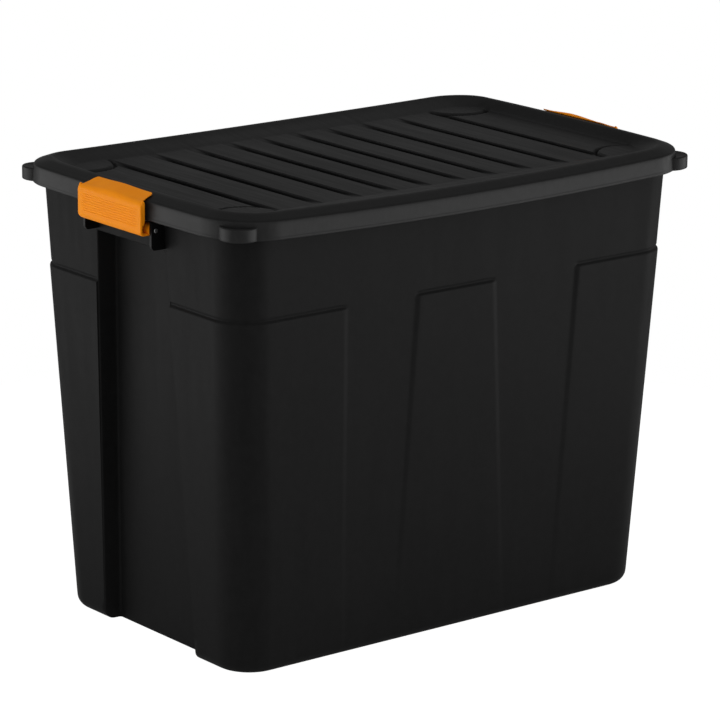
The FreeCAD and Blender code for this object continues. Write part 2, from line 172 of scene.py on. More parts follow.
UNDER_PITCH = 82.0
UNDER_RADIUS = 8.0

# Latch; PIN is the hinge's distance from the middle and its height
PIN = (322.5, 482.0)
LATCH_HALF_WIDTH = 59.4
LATCH_WALL = 3.0
FACE_REACH = 16.5
FACE_CORNER = 7.0
FOOT_ROUND = 7.0
LIP_ROUND = 9.0
LIP_GAP = 0.4
LIP_FRONT = -5.4
LIP_START = 24.0
LIP_CROWN = (1.45, -0.1)
LIP_CROWN_END = 48.0
BARREL_RADIUS = 6.5
BARREL_EDGE = 0.7
BORE_RADIUS = 2.55
KNUCKLE_PLACE = 30.0
KNUCKLE_GAP = 13.0
CHEEK_WALL = 2.4
CHEEK_INSET = 0.2
CHEEK_OUTLINE = (
    (15.2, 5.5), (15.2, 28.0), (13.8, 31.6), (12.6, 32.6), (11.7, 31.4), (11.4, 29.0), (11.4, 12.5),
    (11.9, 9.0), (13.2, 6.2))
CHEEK_FRONT = 14.0
GRIP_LOW = 3.5
GRIP_HIGH = 23.5
GRIP_PITCH = 2.6
GRIP_HEIGHT = 0.5
GRIP_HALF_WIDTH = 52.0

# Mesh columns
CORNER_TURNS = np.linspace(0, 1, 23)[1:-1]
LINE_STEPS = np.array([-14, -11, -8, -5.5, -3.6, -2.6, -1.8, -1.2, -0.6, 0, 0.6, 1.2, 1.8, 2.6, 3.6, 5.5, 8])
CHANNEL_TURNS = 7
FLOOR_COLUMNS = 8
BAND_COLUMNS = 8
CORNER_COLUMNS = 11
GAP_COLUMNS = 13
MIDDLE_COLUMNS = 7
END_COLUMNS = FLOOR_COLUMNS + 3 * CHANNEL_TURNS - 3 + BAND_COLUMNS
BLADE_COLUMNS = 61
EAR_STEPS = 72
BARREL_STEPS = 40


# ---------------------------------------------------------------- mesh helpers

def smooth(value, low, high):
    """0 below low, 1 above high and a soft S between."""
    t = np.clip((value - low) / (high - low), 0.0, 1.0)
    return t * t * (3 - 2 * t)


def joined(*parts):
    """One row of numbers from rows and single numbers."""
    return np.concatenate([np.atleast_1d(part) for part in parts])


def evenly(start, end, step):
    """Points from start to end about a step apart, without the last."""
    count = max(1, round(abs(end - start) / step))
    return np.linspace(start, end, count, endpoint=False)


def with_height(x, y, z):
    """Points from x, y and one height or a row of heights."""
    return np.stack([x, y, np.broadcast_to(z, np.shape(x))], -1)


def loop_edges(work, loop):
    """Edges of a closed row of point numbers, made where they are missing."""
    verts = [work.verts[i] for i in loop]
    pairs = zip(verts, verts[1:] + verts[:1])
    return [work.edges.get(pair) or work.edges.new(pair) for pair in pairs]


class Shell:
    """Collects sheets of points, in millimetres, and makes one mesh of them."""

    def __init__(self):
        self.points = []
        self.faces = []
        self.count = 0

    def sheet(self, grid, wrap=False):
        """Add a grid of points, rows by columns, as four-sided faces, and return the point numbers."""
        rows, columns = grid.shape[:2]
        index = np.arange(rows * columns).reshape(rows, columns) + self.count
        self.points.append(grid.reshape(-1, 3))
        self.count += rows * columns
        base = index if wrap else index[:, :-1]
        across = np.roll(index, -1, 1) if wrap else index[:, 1:]
        self.faces += np.stack([base[:-1], across[:-1], across[1:], base[1:]], -1).reshape(-1, 4).tolist()
        return index

    def tube(self, grid):
        """A sheet closed round its columns, with a face across each end."""
        index = self.sheet(grid, wrap=True)
        self.faces += [index[0].tolist(), index[-1].tolist()]

    def make(self, name, loops=(), weld=0.004):
        """Make the mesh; each entry of loops is a list of closed rows of points to fill between."""
        mesh = bpy.data.meshes.new(name)
        mesh.from_pydata((np.concatenate(self.points) * MM).tolist(), [], self.faces)
        work = bmesh.new()
        work.from_mesh(mesh)
        work.verts.ensure_lookup_table()
        for group in loops:
            edges = [edge for loop in group for edge in loop_edges(work, loop)]
            bmesh.ops.triangle_fill(work, edges=edges, use_beauty=True)
        bmesh.ops.remove_doubles(work, verts=work.verts, dist=weld * MM)
        bmesh.ops.recalc_face_normals(work, faces=work.faces)
        for face in work.faces:
            face.smooth = True
        work.to_mesh(mesh)
        work.free()
        mesh.set_sharp_from_angle(angle=radians(SHARP_ANGLE))
        piece = bpy.data.objects.new(name, mesh)
        bpy.context.scene.collection.objects.link(piece)
        return piece


def ring(quarter):
    """Mirror a quarter (rows, columns, xyz), from the +X middle to the +Y middle, into a closed ring."""
    left = quarter[:, -2::-1] * (-1, 1, 1)
    back = quarter[:, 1:] * (-1, -1, 1)
    right = quarter[:, -2:0:-1] * (1, -1, 1)
    return np.concatenate([quarter, left, back, right], 1)


def corner_arc(half, radius, bow, turns):
    """Corner of a bowed outline, for turns from 0 at the short side to 1 at the long side."""
    end_x, end_y = half[0] - radius, half[1] - radius
    side_x = half[0] + bow[0] * (1 - (end_y / half[1]) ** 2)
    side_y = half[1] + bow[1] * (1 - (end_x / half[0]) ** 2)
    first = np.arctan(2 * bow[0] * end_y / half[1] ** 2)
    last = pi / 2 - np.arctan(2 * bow[1] * end_x / half[0] ** 2)
    angle = first + np.asarray(turns) * (last - first)
    width = (side_x - end_x) / (cos(first) - cos(last))
    depth = (side_y - end_y) / (sin(last) - sin(first))
    return end_x + width * (np.cos(angle) - cos(last)), end_y + depth * (np.sin(angle) - sin(first))


def quarter_outline(half, radius, bow, along_end, turns, along_side):
    """Quarter of a bowed outline; along_end and along_side are shares of each side's straight part."""
    y_end = along_end * (half[1] - radius)
    x_end = half[0] + bow[0] * (1 - (y_end / half[1]) ** 2)
    x_corner, y_corner = corner_arc(half, radius, bow, turns)
    x_side = along_side * (half[0] - radius)
    y_side = half[1] + bow[1] * (1 - (x_side / half[0]) ** 2)
    return joined(x_end, x_corner, x_side), joined(y_end, y_corner, y_side)


def rounded_distance(x, y, half, radius):
    """Signed distance outside a rounded rectangle."""
    out_x = np.abs(x) - (half[0] - radius)
    out_y = np.abs(y) - (half[1] - radius)
    outside = np.hypot(np.maximum(out_x, 0), np.maximum(out_y, 0))
    return outside + np.minimum(np.maximum(out_x, out_y), 0) - radius


def rim_sag(points):
    """The long sides of the rim hang a little at their middles."""
    x, y = points[..., 0], np.abs(points[..., 1])
    drop = RIM_SAG * (1 - (x / LID_HALF[0]) ** 2)
    return drop * smooth(y, *RIM_SAG_REACH)


def lathe(profile, centre, steps):
    """Turn a profile of (radius, height) points about an upright line."""
    angle = np.arange(steps) * 2 * pi / steps
    radius, height = np.array(profile, float).T
    x = centre[0] + np.outer(radius, np.cos(angle))
    y = centre[1] + np.outer(radius, np.sin(angle))
    return with_height(x, y, height[:, None])


# ---------------------------------------------------------------- tub

def between(pair, height, top):
    """Value that goes from pair[0] at the foot to pair[1] at the top."""
    return pair[0] + (pair[1] - pair[0]) * np.clip(height / top, 0, 1)


def channel_side(depth):
    """Section through the channel's side: distance out from its edge, and depth there."""
    turn = np.linspace(0, pi / 2, CHANNEL_TURNS)
    wall = np.linspace(0, 1, CHANNEL_TURNS)[1:-1]
    foot = CHANNEL_FILLET * (np.sin(turn) - 1) - CHANNEL_LEAN
    foot_depth = depth - CHANNEL_FILLET * (1 - np.cos(turn))
    lip = CHANNEL_LIP * (1 - np.cos(turn))
    lip_depth = CHANNEL_LIP * (1 - np.sin(turn))
    lean = -CHANNEL_LEAN * (1 - wall)
    wall_depth = foot_depth[-1] + wall * (CHANNEL_LIP - foot_depth[-1])
    return joined(foot, lean, lip), joined(foot_depth, wall_depth, lip_depth)


def panel_share(inward, below):
    """How far into a raised panel a point is, from 0 to 1; the panel's upper corner is round."""
    a, b = PANEL_ROUND - inward, PANEL_ROUND - below
    corner = np.hypot(np.maximum(a, 0), np.maximum(b, 0))
    reach = PANEL_ROUND - corner - np.minimum(np.maximum(a, b), 0)
    return smooth(reach, -PANEL_SOFT, PANEL_SOFT)


def top_groove(z):
    """Depth of the shallow groove that runs along a panel's top edge."""
    lower = smooth(z - PANEL_TOP, *PANEL_GROOVE_LOWER)
    upper = smooth(z - PANEL_TOP, *PANEL_GROOVE_UPPER)
    return PANEL_GROOVE * lower * (1 - upper)


def wall_levels(offset):
    """Heights of the wall's rows, and how far the round foot draws each one in."""
    fillet = FOOT_FILLET - offset
    bottom = TUB_FLOOR if offset else 0.0
    turn = np.linspace(0, pi / 2, 9)
    panel = PANEL_TOP + offset
    ledge = CHANNEL_TOP + offset
    heights = joined(
        bottom + fillet * (1 - np.cos(turn)),
        evenly(bottom + fillet + 4, panel - 16, 11.5),
        evenly(panel - 16, panel - 4, 1.5),
        evenly(panel - 4, panel + 8, 0.6),
        evenly(panel + 9, ledge - 12, 9.0),
        evenly(ledge - 12, ledge + 3, 0.7),
        evenly(ledge + 6, FLANGE_UNDER, 9.0),
        TUB_TOP if offset else FLANGE_UNDER)
    inset = np.zeros(len(heights))
    inset[:len(turn)] = fillet * (1 - np.sin(turn))
    return heights, inset


def end_columns(z, end_y, offset):
    """Columns from the channel's middle to the corner, and how deep the channel is at each."""
    depth = between(CHANNEL_DEPTH, z, CHANNEL_TOP)
    edge = between(CHANNEL_HALF, z, CHANNEL_TOP) + offset
    side, side_depth = channel_side(depth)
    lines = edge + side[:-1]
    floor = np.linspace(0, lines[0], FLOOR_COLUMNS + 1)[:-1]
    band = np.linspace(edge + side[-1], end_y, BAND_COLUMNS)
    cut = joined(np.full(FLOOR_COLUMNS, depth), side_depth[:-1], np.zeros(BAND_COLUMNS))
    ledge = np.interp(z - CHANNEL_TOP - offset, side, side_depth, left=depth, right=0.0)
    return joined(floor, lines, band), np.minimum(cut, ledge)


def side_columns(z, end_x, offset):
    """Columns from the corner to the long side's middle, and the edges of its two panels."""
    corner_x = between(CORNER_START, z, PANEL_TOP) - offset
    middle_x = between(MIDDLE_HALF, z, PANEL_TOP) + offset
    near_corner = corner_x - LINE_STEPS
    near_middle = middle_x + LINE_STEPS[::-1]
    columns = joined(
        np.linspace(end_x, near_corner[0], CORNER_COLUMNS)[:-1], near_corner,
        np.linspace(near_corner[-1], near_middle[0], GAP_COLUMNS)[1:-1], near_middle,
        np.linspace(near_middle[-1], 0, MIDDLE_COLUMNS)[1:])
    return columns, corner_x, middle_x


def wall_row(z, inset, offset):
    """One row of a quarter of the tub's wall, from the channel's middle to the long side's middle."""
    half_x = FOOT_HALF[0] + WALL_DRAFT * z - offset
    half_y = FOOT_HALF[1] + WALL_DRAFT * z - offset
    radius = WALL_RADIUS - offset
    end_x, end_y = half_x - radius, half_y - radius
    y_end, channel = end_columns(z, end_y, offset)
    x_side, corner_x, middle_x = side_columns(z, end_x, offset)
    below = (PANEL_TOP - z) * PANEL_TOP_SHARPNESS
    rise = between(PANEL_RISE, z - PANEL_FOOT, PANEL_TOP - PANEL_FOOT)
    rise *= smooth(z, PANEL_FADE, PANEL_FOOT)
    groove = top_groove(z) if offset == 0 else 0.0
    well_inside = 2 * PANEL_ROUND
    whole = groove - rise * panel_share(well_inside, below)
    beside = whole * (1 - np.minimum(channel / CHANNEL_BLEND, 1))
    deep_end = np.where(channel > inset, channel - inset, beside)
    from_corner, from_middle = x_side - corner_x, middle_x - x_side
    share = np.maximum(panel_share(from_corner, below), panel_share(from_middle, below))
    span = np.maximum(panel_share(from_corner, well_inside), panel_share(from_middle, well_inside))
    turns = CORNER_TURNS * pi / 2
    reach = radius - inset - whole
    x = joined(half_x - inset - deep_end, end_x + reach * np.cos(turns), x_side)
    y = joined(y_end, end_y + reach * np.sin(turns), half_y - inset + rise * share - groove * span)
    return with_height(x, y, z)


def wall_quarter(offset):
    """Rows of a quarter of the wall's face, outer at offset 0 and inner at the wall's thickness."""
    heights, insets = wall_levels(offset)
    return np.stack([wall_row(z, inset, offset) for z, inset in zip(heights, insets)])


def rim_row(wall, inset, z):
    """A row on the lid's outline, inset from it, whose columns match a row of the wall."""
    first_side = END_COLUMNS + len(CORNER_TURNS)
    along_end = wall[:END_COLUMNS, 1] / wall[END_COLUMNS - 1, 1]
    along_side = wall[first_side:, 0] / wall[first_side, 0]
    half = (LID_HALF[0] - inset, LID_HALF[1] - inset)
    x, y = quarter_outline(half, LID_RADIUS - inset, LID_BOW, along_end, CORNER_TURNS, along_side)
    return with_height(x, y, z)


def underside_pockets(shell):
    """Shallow pockets between the ribs under the floor; returns their outer loops."""
    loops = []
    half = ((UNDER_PITCH - UNDER_RIB) / 2, FOOT_HALF[1] - UNDER_MARGIN)
    turns = np.linspace(0, 1, 6)
    for place in range(-3, 3):
        centre = (place + 0.5) * UNDER_PITCH
        rows = []
        for inset, z in ((0, 0), (0.4, UNDER_HOLLOW - 0.5), (1.0, UNDER_HOLLOW)):
            size = (half[0] - inset, half[1] - inset)
            x, y = corner_arc(size, UNDER_RADIUS - inset, (0, 0), turns)
            rows.append(with_height(x, y, z))
        grid = np.stack(rows)
        back = grid[:, ::-1]
        grid = np.concatenate([grid, back * (-1, 1, 1), grid * (-1, -1, 1), back * (1, -1, 1)], 1)
        index = shell.sheet(grid + (centre, 0, 0), wrap=True)
        shell.faces.append(index[-1].tolist())
        loops.append(index[0].tolist())
    return loops


def middle_lean(grid):
    """The middle panels lean a little, to the left as each long side is looked at."""
    x, y, z = grid[..., 0], grid[..., 1], grid[..., 2]
    near_panel = (1 - smooth(np.abs(x), *MIDDLE_REACH)) * (1 - smooth(z, MIDDLE_FADE, CHANNEL_TOP))
    long_side = np.sign(y) * (np.abs(y) > FOOT_HALF[1] / 2)
    return MIDDLE_LEAN * np.clip(z / PANEL_TOP, 0, 1) * near_panel * long_side


def flange_rows(wall):
    """Rows of the rim flange, from under its foot out to its lip and up to the rim."""
    lip = FLANGE_INSET
    section = (
        (lip + 4, FLANGE_UNDER), (lip + 3, FLANGE_UNDER - 1), (lip + 2.5, FLANGE_LIP + 0.6),
        (lip + 1.9, FLANGE_LIP), (lip + 0.6, FLANGE_LIP), (lip, FLANGE_LIP + 0.6),
        (lip, TUB_TOP - 0.8), (lip + 0.3, TUB_TOP - 0.2), (lip + 0.9, TUB_TOP))
    return np.stack([rim_row(wall, inset, z) for inset, z in section])


def make_tub():
    """The tub: outer wall, rim flange, inner wall, floor and ribbed underside."""
    outer = wall_quarter(0.0)
    inner = wall_quarter(TUB_WALL)
    shell = Shell()
    grid = ring(np.concatenate([outer, flange_rows(outer[-1]), inner[::-1]]))
    grid[..., 2] -= rim_sag(grid) * smooth(grid[..., 2], CHANNEL_TOP, FLANGE_LIP)
    grid[..., 0] += middle_lean(grid)
    index = shell.sheet(grid, wrap=True)
    pockets = underside_pockets(shell)
    return shell.make("tub_shell", loops=[[index[0].tolist()] + pockets, [index[-1].tolist()]])


# ---------------------------------------------------------------- lid

def groove_drop(x, y):
    """Depth of the grooves between the slats, deepest half way along."""
    along = np.clip(1 - (y / GROOVE_HALF_LENGTH) ** 2, 0, 1)
    drop = np.zeros(np.shape(x))
    for centre in GROOVE_CENTRES:
        across = np.abs(np.abs(x) - centre)
        drop = np.maximum(drop, 1 - smooth(across, GROOVE_HALF_WIDTH - GROOVE_SIDE, GROOVE_HALF_WIDTH))
    return drop * GROOVE_DEPTH * along


def slat_crown(x):
    """The slats are very slightly crowned between the grooves."""
    edges = joined(0.0, GROOVE_CENTRES, WELL_HALF[0] + GROOVE_HALF_WIDTH)
    place = np.clip(np.searchsorted(edges, np.abs(x)) - 1, 0, len(edges) - 2)
    low = np.where(place == 0, -edges[1], edges[place])
    middle = (low + edges[place + 1]) / 2
    return SLAT_CROWN * ((np.abs(x) - middle) / (edges[place + 1] - low) * 2) ** 2


def ridge_share(x, y, outside):
    """How far a point is up the slope between the well's edge and the ridge, from 0 to 1."""
    half = (LID_HALF[0] - RIDGE_INSET, LID_HALF[1] - RIDGE_INSET)
    bowed_x = np.abs(x) - LID_BOW[0] * (1 - (y / LID_HALF[1]) ** 2)
    bowed_y = np.abs(y) - LID_BOW[1] * (1 - (x / LID_HALF[0]) ** 2)
    from_well = np.maximum(outside, 0)
    from_ridge = np.maximum(-rounded_distance(bowed_x, bowed_y, half, LID_RADIUS - RIDGE_INSET), 0)
    return np.clip(from_well / np.maximum(from_well + from_ridge, TINY), 0, 1)


def lid_height(x, y):
    """Height of the lid's top inside the ridge: slats, grooves, corner bosses and the slope round them."""
    outside = rounded_distance(x, y, WELL_HALF, WELL_RADIUS)
    rise = (RIDGE_TOP - ridge_drop(RIDGE_INSET) - SLAT_TOP) * ridge_share(x, y, outside)
    flat = 1 - smooth(outside, *WELL_EDGE)
    from_boss = np.hypot(np.abs(x) - BOSS_PLACE[0], np.abs(y) - BOSS_PLACE[1]) - BOSS_RADIUS
    moat = smooth(from_boss, -1.0, 1.0) * (1 - smooth(from_boss, MOAT_WIDTH - MOAT_SIDE, MOAT_WIDTH))
    drop = np.maximum(groove_drop(x, y), moat * MOAT_DEPTH) + slat_crown(x) * (1 - moat)
    surface = SLAT_TOP + rise - drop * flat
    boss = BOSS_TOP - BOSS_EDGE * smooth(from_boss, -4.0, -1.5) - BOSS_WALL * smooth(from_boss, -1.9, 0.9)
    return np.maximum(surface, np.where(from_boss < 0.9, boss, 0))


def well_lines():
    """Grid lines of a quarter of the lid's top, closest at the grooves and the bosses."""
    end_x, end_y = LID_HALF[0] - LID_RADIUS, LID_HALF[1] - LID_RADIUS
    side = GROOVE_HALF_WIDTH + np.array([-1.5, -1.0, -0.5, 0, 0.5, 1.2])
    groove = joined(-side[::-1], -4.2, 0, 4.2, side)
    boss_start = BOSS_PLACE[0] - BOSS_RADIUS - MOAT_WIDTH - 1
    boss_side = BOSS_PLACE[1] - BOSS_RADIUS - MOAT_WIDTH - 1
    lines = [np.arange(0, 17.0, 5.0)]
    for centre in GROOVE_CENTRES:
        lines.append(centre + groove)
    for low, high in zip(GROOVE_CENTRES, GROOVE_CENTRES[1:]):
        lines.append(evenly(low + 8, min(high - 8, boss_start), 5.0)[1:])
    lines.append(evenly(boss_start, end_x, BOSS_STEP))
    xs = np.unique(np.round(joined(*lines, end_x), 3))
    xs = xs[np.concatenate([[True], np.diff(xs) > 0.25])]
    ys = joined(
        evenly(0, boss_side - 9, 7.0), evenly(boss_side - 9, boss_side, 3.0),
        evenly(boss_side, end_y, BOSS_STEP), end_y)
    return xs, ys


def top_quarter(xs, ys):
    """Points of a quarter of the lid's top: square lines that turn round the corner as rings."""
    count = round((LID_RADIUS - RIDGE_INSET) / BOSS_STEP)
    share = np.arange(1, count + 1) / count
    half = (LID_HALF[0] - RIDGE_INSET, LID_HALF[1] - RIDGE_INSET)
    s = joined(np.zeros(len(xs)), share)[:, None]
    t = joined(np.zeros(len(ys)), share)[None, :]
    x0 = joined(xs, np.full(count, xs[-1]))[:, None]
    y0 = joined(ys, np.full(count, ys[-1]))[None, :]
    most = np.maximum(s, t)
    safe = np.maximum(most, 1e-9)
    turns = np.where(s >= t, 0.5 * t / safe, 1 - 0.5 * s / safe)
    arc_x, arc_y = corner_arc(half, LID_RADIUS - RIDGE_INSET, LID_BOW, turns)
    edge_x = half[0] + LID_BOW[0] * (1 - (y0 / half[1]) ** 2)
    edge_y = half[1] + LID_BOW[1] * (1 - (x0 / half[0]) ** 2)
    x = np.where((s > 0) & (t > 0), x0 + most * (arc_x - x0), x0 + s * (edge_x - x0))
    y = np.where((s > 0) & (t > 0), y0 + most * (arc_y - y0), y0 + t * (edge_y - y0))
    return with_height(x, y, lid_height(x, y)), count


def ridge_drop(inset):
    """How far the round crest lies under its top, at an inset from the rim."""
    return (RIDGE_TOP - SKIRT_TOP) / RIDGE_FALL / 12 * (inset - RIDGE_CREST) ** 2


def lid_section():
    """Section of the lid's edge as (inset, height): ridge, skirt with its bead, and back up inside."""
    slope = (RIDGE_TOP - SKIRT_TOP) / RIDGE_FALL
    wall = BEAD + LID_WALL
    crest = [(inset, RIDGE_TOP - ridge_drop(inset)) for inset in (22.0, 21.0, 20.0, 18.8, 17.6, 16.0, 14.0)]
    fall = [(inset, SKIRT_TOP + slope * inset) for inset in (11.0, 8.0, 5.5, 4.2)]
    shoulder = [
        (3.3, SKIRT_TOP + 1.05), (2.6, SKIRT_TOP + 0.55), (2.1, SKIRT_TOP - 0.1), (1.8, SKIRT_TOP - 0.9)]
    face = [
        (BEAD + SKIRT_CURVE * ((z - SKIRT_WAIST) / 16.0) ** 2, z)
        for z in (510.5, 508.5, 506.0, 503.0, 500.0, 497.4)]
    bead = [
        (BEAD - 0.1, 496.6), (BEAD - 0.35, 496.0), (0.05, 495.2), (0.0, 494.4), (0.2, 493.6),
        (0.8, SKIRT_BOTTOM)]
    inside = [
        (wall - 0.6, SKIRT_BOTTOM), (wall, SKIRT_BOTTOM + 0.6), (wall, 502.0),
        (wall + 0.2, SKIRT_TOP - LID_WALL)]
    under = [(inset, SKIRT_TOP + slope * inset - LID_WALL - 0.2) for inset in (6.0, 10.0, 15.0)]
    return crest + fall + shoulder + face + bead + inside + under


def lid_rows(edge, xs, ys, turns):
    """Rows from the edge of the lid's top over the ridge, down the skirt and back up inside."""
    rows = [edge]
    for inset, z in lid_section():
        half = (LID_HALF[0] - inset, LID_HALF[1] - inset)
        x, y = quarter_outline(half, LID_RADIUS - inset, LID_BOW, ys / ys[-1], turns, xs[::-1] / xs[-1])
        rows.append(with_height(x, y, z))
    rows.append(edge - (0, 0, LID_WALL))
    return np.stack(rows)


def whole_top(quarter):
    """The lid's top from its quarter."""
    top = np.concatenate([quarter[:0:-1] * (-1, 1, 1), quarter])
    return np.concatenate([top[:, :0:-1] * (1, -1, 1), top], 1)


def under_lid_ring(shell, outline, low, high):
    """A closed ring with a flat foot: outline gives the quarter's x and y for an inset."""
    rows = [(0, high), (0, low + 0.6), (0.5, low), (2.0, low), (2.5, low + 0.6), (2.5, high), (0, high)]
    shell.sheet(ring(np.stack([with_height(*outline(inset), z) for inset, z in rows])), wrap=True)


def under_lid_rings(shell, xs, ys, turns):
    """Seat ring that rests on the tub's rim, and plug ring that goes inside it."""
    along_end, along_side = ys / ys[-1], xs[::-1] / xs[-1]

    def seat(inset):
        inset = SEAT_INSET + inset
        half = (LID_HALF[0] - inset, LID_HALF[1] - inset)
        return quarter_outline(half, LID_RADIUS - inset, LID_BOW, along_end, turns, along_side)

    def plug(inset):
        gap = TUB_WALL + PLUG_GAP + inset
        half = [foot + WALL_DRAFT * FLANGE_LIP - gap for foot in FOOT_HALF]
        return quarter_outline(half, WALL_RADIUS - gap, (0, 0), along_end, turns, along_side)

    under_lid_ring(shell, seat, TUB_TOP + 0.1, SEAT_TOP)
    under_lid_ring(shell, plug, PLUG_BOTTOM, PLUG_TOP)


def under_lid_ribs(shell):
    """Long ribs under the slats, round at their feet."""
    side, foot = UNDER_RIB_HALF_WIDTH, UNDER_RIB_HALF_WIDTH - 0.5
    section = [(-side, UNDER_RIB_TOP), (-side, UNDER_RIB_BOTTOM + 0.5), (-foot, UNDER_RIB_BOTTOM)]
    section += [(-out, z) for out, z in section[::-1]]
    for y in UNDER_RIB_ROWS:
        ends = (-UNDER_RIB_HALF_LENGTH, UNDER_RIB_HALF_LENGTH)
        shell.tube(np.array([[(x, y + out, z) for out, z in section] for x in ends]))


def ears(shell):
    """Round stubs at the corners of the skirt, with dished tops."""
    top, side, bottom = EAR_TOP, EAR_RADIUS, EAR_BOTTOM
    profile = [
        (0.01, top - 1.3), (8, top - 1.25), (13, top - 1.0), (16, top - 0.6), (17.8, top - 0.2),
        (19.0, top), (19.8, top - 0.15), (20.4, top - 0.7), (side, top - 1.6),
        (side, 504.0), (side, 500.0), (side, 496.5), (side, 494.2),
        (side - 0.3, bottom + 0.35), (side - 1, bottom), (0.01, bottom)]
    for side_x in (-1, 1):
        for side_y in (-1, 1):
            centre = (side_x * EAR_PLACE[0], side_y * EAR_PLACE[1])
            shell.sheet(lathe(profile, centre, EAR_STEPS), wrap=True)


def make_lid():
    """The lid: slatted top, ridge, skirt, corner ears and the parts underneath."""
    xs, ys = well_lines()
    quarter, count = top_quarter(xs, ys)
    turns = np.arange(1, 2 * count) / (2 * count)
    edge = np.concatenate([quarter[-1], quarter[-2::-1, -1]])
    shell = Shell()
    shell.sheet(whole_top(quarter))
    shell.sheet(whole_top(quarter - (0, 0, LID_WALL)))
    shell.sheet(ring(lid_rows(edge, xs, ys, turns)), wrap=True)
    under_lid_rings(shell, xs, ys, turns)
    under_lid_ribs(shell)
    ears(shell)
    shell.points = [part - rim_sag(part)[:, None] * (0, 0, 1) for part in shell.points]
    return shell.make("lid_shell")


# ---------------------------------------------------------------- latch

def latch_path():
    """Middle line of the latch's wall, as (reach, rise) from the pin, from the hinge round to the lip."""
    tilt = np.arctan((RIDGE_TOP - SKIRT_TOP) / RIDGE_FALL)
    half = LATCH_WALL / 2
    reach = FACE_REACH - half
    bottom = half - BARREL_RADIUS
    bend = FOOT_ROUND - half
    lip_bend = LIP_ROUND - half
    rim_reach = LID_HALF[0] + LID_BOW[0] - PIN[0]
    corner = SKIRT_TOP - PIN[1] + (LIP_GAP + half) / cos(tilt) + (rim_reach - reach) * np.tan(tilt)
    tangent = lip_bend * np.tan((pi / 2 - tilt) / 2)
    turn = np.linspace(-pi / 2, 0, 10)
    foot = [reach - bend + bend * np.cos(turn), bottom + bend + bend * np.sin(turn)]
    turn = np.linspace(0, pi / 2 - tilt, 12)
    top = [reach - lip_bend + lip_bend * np.cos(turn), corner - tangent + lip_bend * np.sin(turn)]
    start = evenly(2.0, foot[0][0], 1.5)
    face = evenly(foot[1][-1], top[1][0], 0.45)[1:]
    lip_end = LIP_FRONT + np.array([1.6, 1.0, 0.5, 0.2, 0.0])
    lip = joined(evenly(top[0][-1], lip_end[0], 1.2)[1:], lip_end)
    lip_rise = top[1][-1] + (top[0][-1] - lip) * np.tan(tilt)
    across = joined(start, foot[0], np.full(len(face), reach), top[0], lip)
    up = joined(np.full(len(start), bottom), foot[1], face, top[1], lip_rise)
    return across, up


def latch_half_width(reach, rise):
    """Half width of the latch along its path: round lower corners, and a tongue with cut-back ends."""
    low = np.clip(FACE_CORNER - (rise + BARREL_RADIUS), 0, FACE_CORNER)
    width = LATCH_HALF_WIDTH - FACE_CORNER + np.sqrt(FACE_CORNER ** 2 - low ** 2)
    plan_reach = (-5.5, -5.0, -4.0, -2.0, 0.5, 3.0, 6.5, 10.5, 12.5, 14.2, 15.0)
    plan_width = (48.5, 50.0, 51.4, 52.4, 52.8, 53.0, 53.8, 55.0, 56.6, 58.8, LATCH_HALF_WIDTH)
    return np.where(rise > LIP_START, np.interp(reach, plan_reach, plan_width), width)


def lip_crown(rise, y):
    """Share of the wall's half thickness on the lip's upper side: thick in the middle, thin at its ends."""
    crown = LIP_CROWN[0] + (LIP_CROWN[1] - LIP_CROWN[0]) * smooth(np.abs(y), 0.0, LIP_CROWN_END)
    return 1 + (crown - 1) * smooth(rise, LIP_START + 4, LIP_START + 10)


def cheeks(shell):
    """Thin end walls between the latch's face and the lid's skirt, round at their corners."""
    for side in (-1, 1):
        rows = []
        for out, shrink in ((0.0, 0.4), (0.3, 0.0), (CHEEK_WALL - 0.3, 0.0), (CHEEK_WALL, 0.4)):
            y = side * (LATCH_HALF_WIDTH - CHEEK_INSET - out)
            rows.append([
                (-(PIN[0] + reach - shrink * (reach < CHEEK_FRONT)), y, PIN[1] + rise)
                for reach, rise in CHEEK_OUTLINE])
        shell.tube(np.array(rows))


def grip_ridges(rise, y):
    """Height of the fine grip lines across the face."""
    wave = np.clip(np.sin((rise - GRIP_LOW) * 2 * pi / GRIP_PITCH), 0, 1) ** 0.7
    band = smooth(rise, GRIP_LOW, GRIP_LOW + 0.5) * (1 - smooth(rise, GRIP_HIGH - 0.5, GRIP_HIGH))
    return GRIP_HEIGHT * wave * band * (1 - smooth(np.abs(y), GRIP_HALF_WIDTH - 2, GRIP_HALF_WIDTH))


def blade_section(half, width):
    """Sideways place and level of the columns round the blade's section, for each point of its path."""
    turn = np.linspace(pi / 2, -pi / 2, 9)[1:-1]
    across = np.linspace(-1, 1, BLADE_COLUMNS)
    flat = (width - half)[:, None]
    end = flat + half[:, None] * np.cos(turn)
    y = np.concatenate([across * flat, end, across[::-1] * flat, -end], 1)
    level = joined(np.ones(BLADE_COLUMNS), np.sin(turn), -np.ones(BLADE_COLUMNS), -np.sin(turn))
    return y, level * half[:, None]


def latch_blade(shell):
    """The latch's face and lip, one round-edged wall of even thickness but for the lip's crown."""
    reach, rise = latch_path()
    run = np.stack([np.gradient(reach), np.gradient(rise)])
    run /= np.hypot(*run)
    out_reach, out_rise = run[1], -run[0]
    half = np.full(len(reach), LATCH_WALL / 2)
    half[-5:] *= (0.97, 0.9, 0.75, 0.55, 0.3)
    y, level = blade_section(half, latch_half_width(reach, rise))
    level = np.where(level > 0, level * lip_crown(rise[:, None], y), level)
    level[:, :BLADE_COLUMNS] += grip_ridges(rise[:, None], y[:, :BLADE_COLUMNS])
    x = -(PIN[0] + reach[:, None] + out_reach[:, None] * level)
    z = PIN[1] + rise[:, None] + out_rise[:, None] * level
    shell.tube(np.stack([x, y, z], -1))


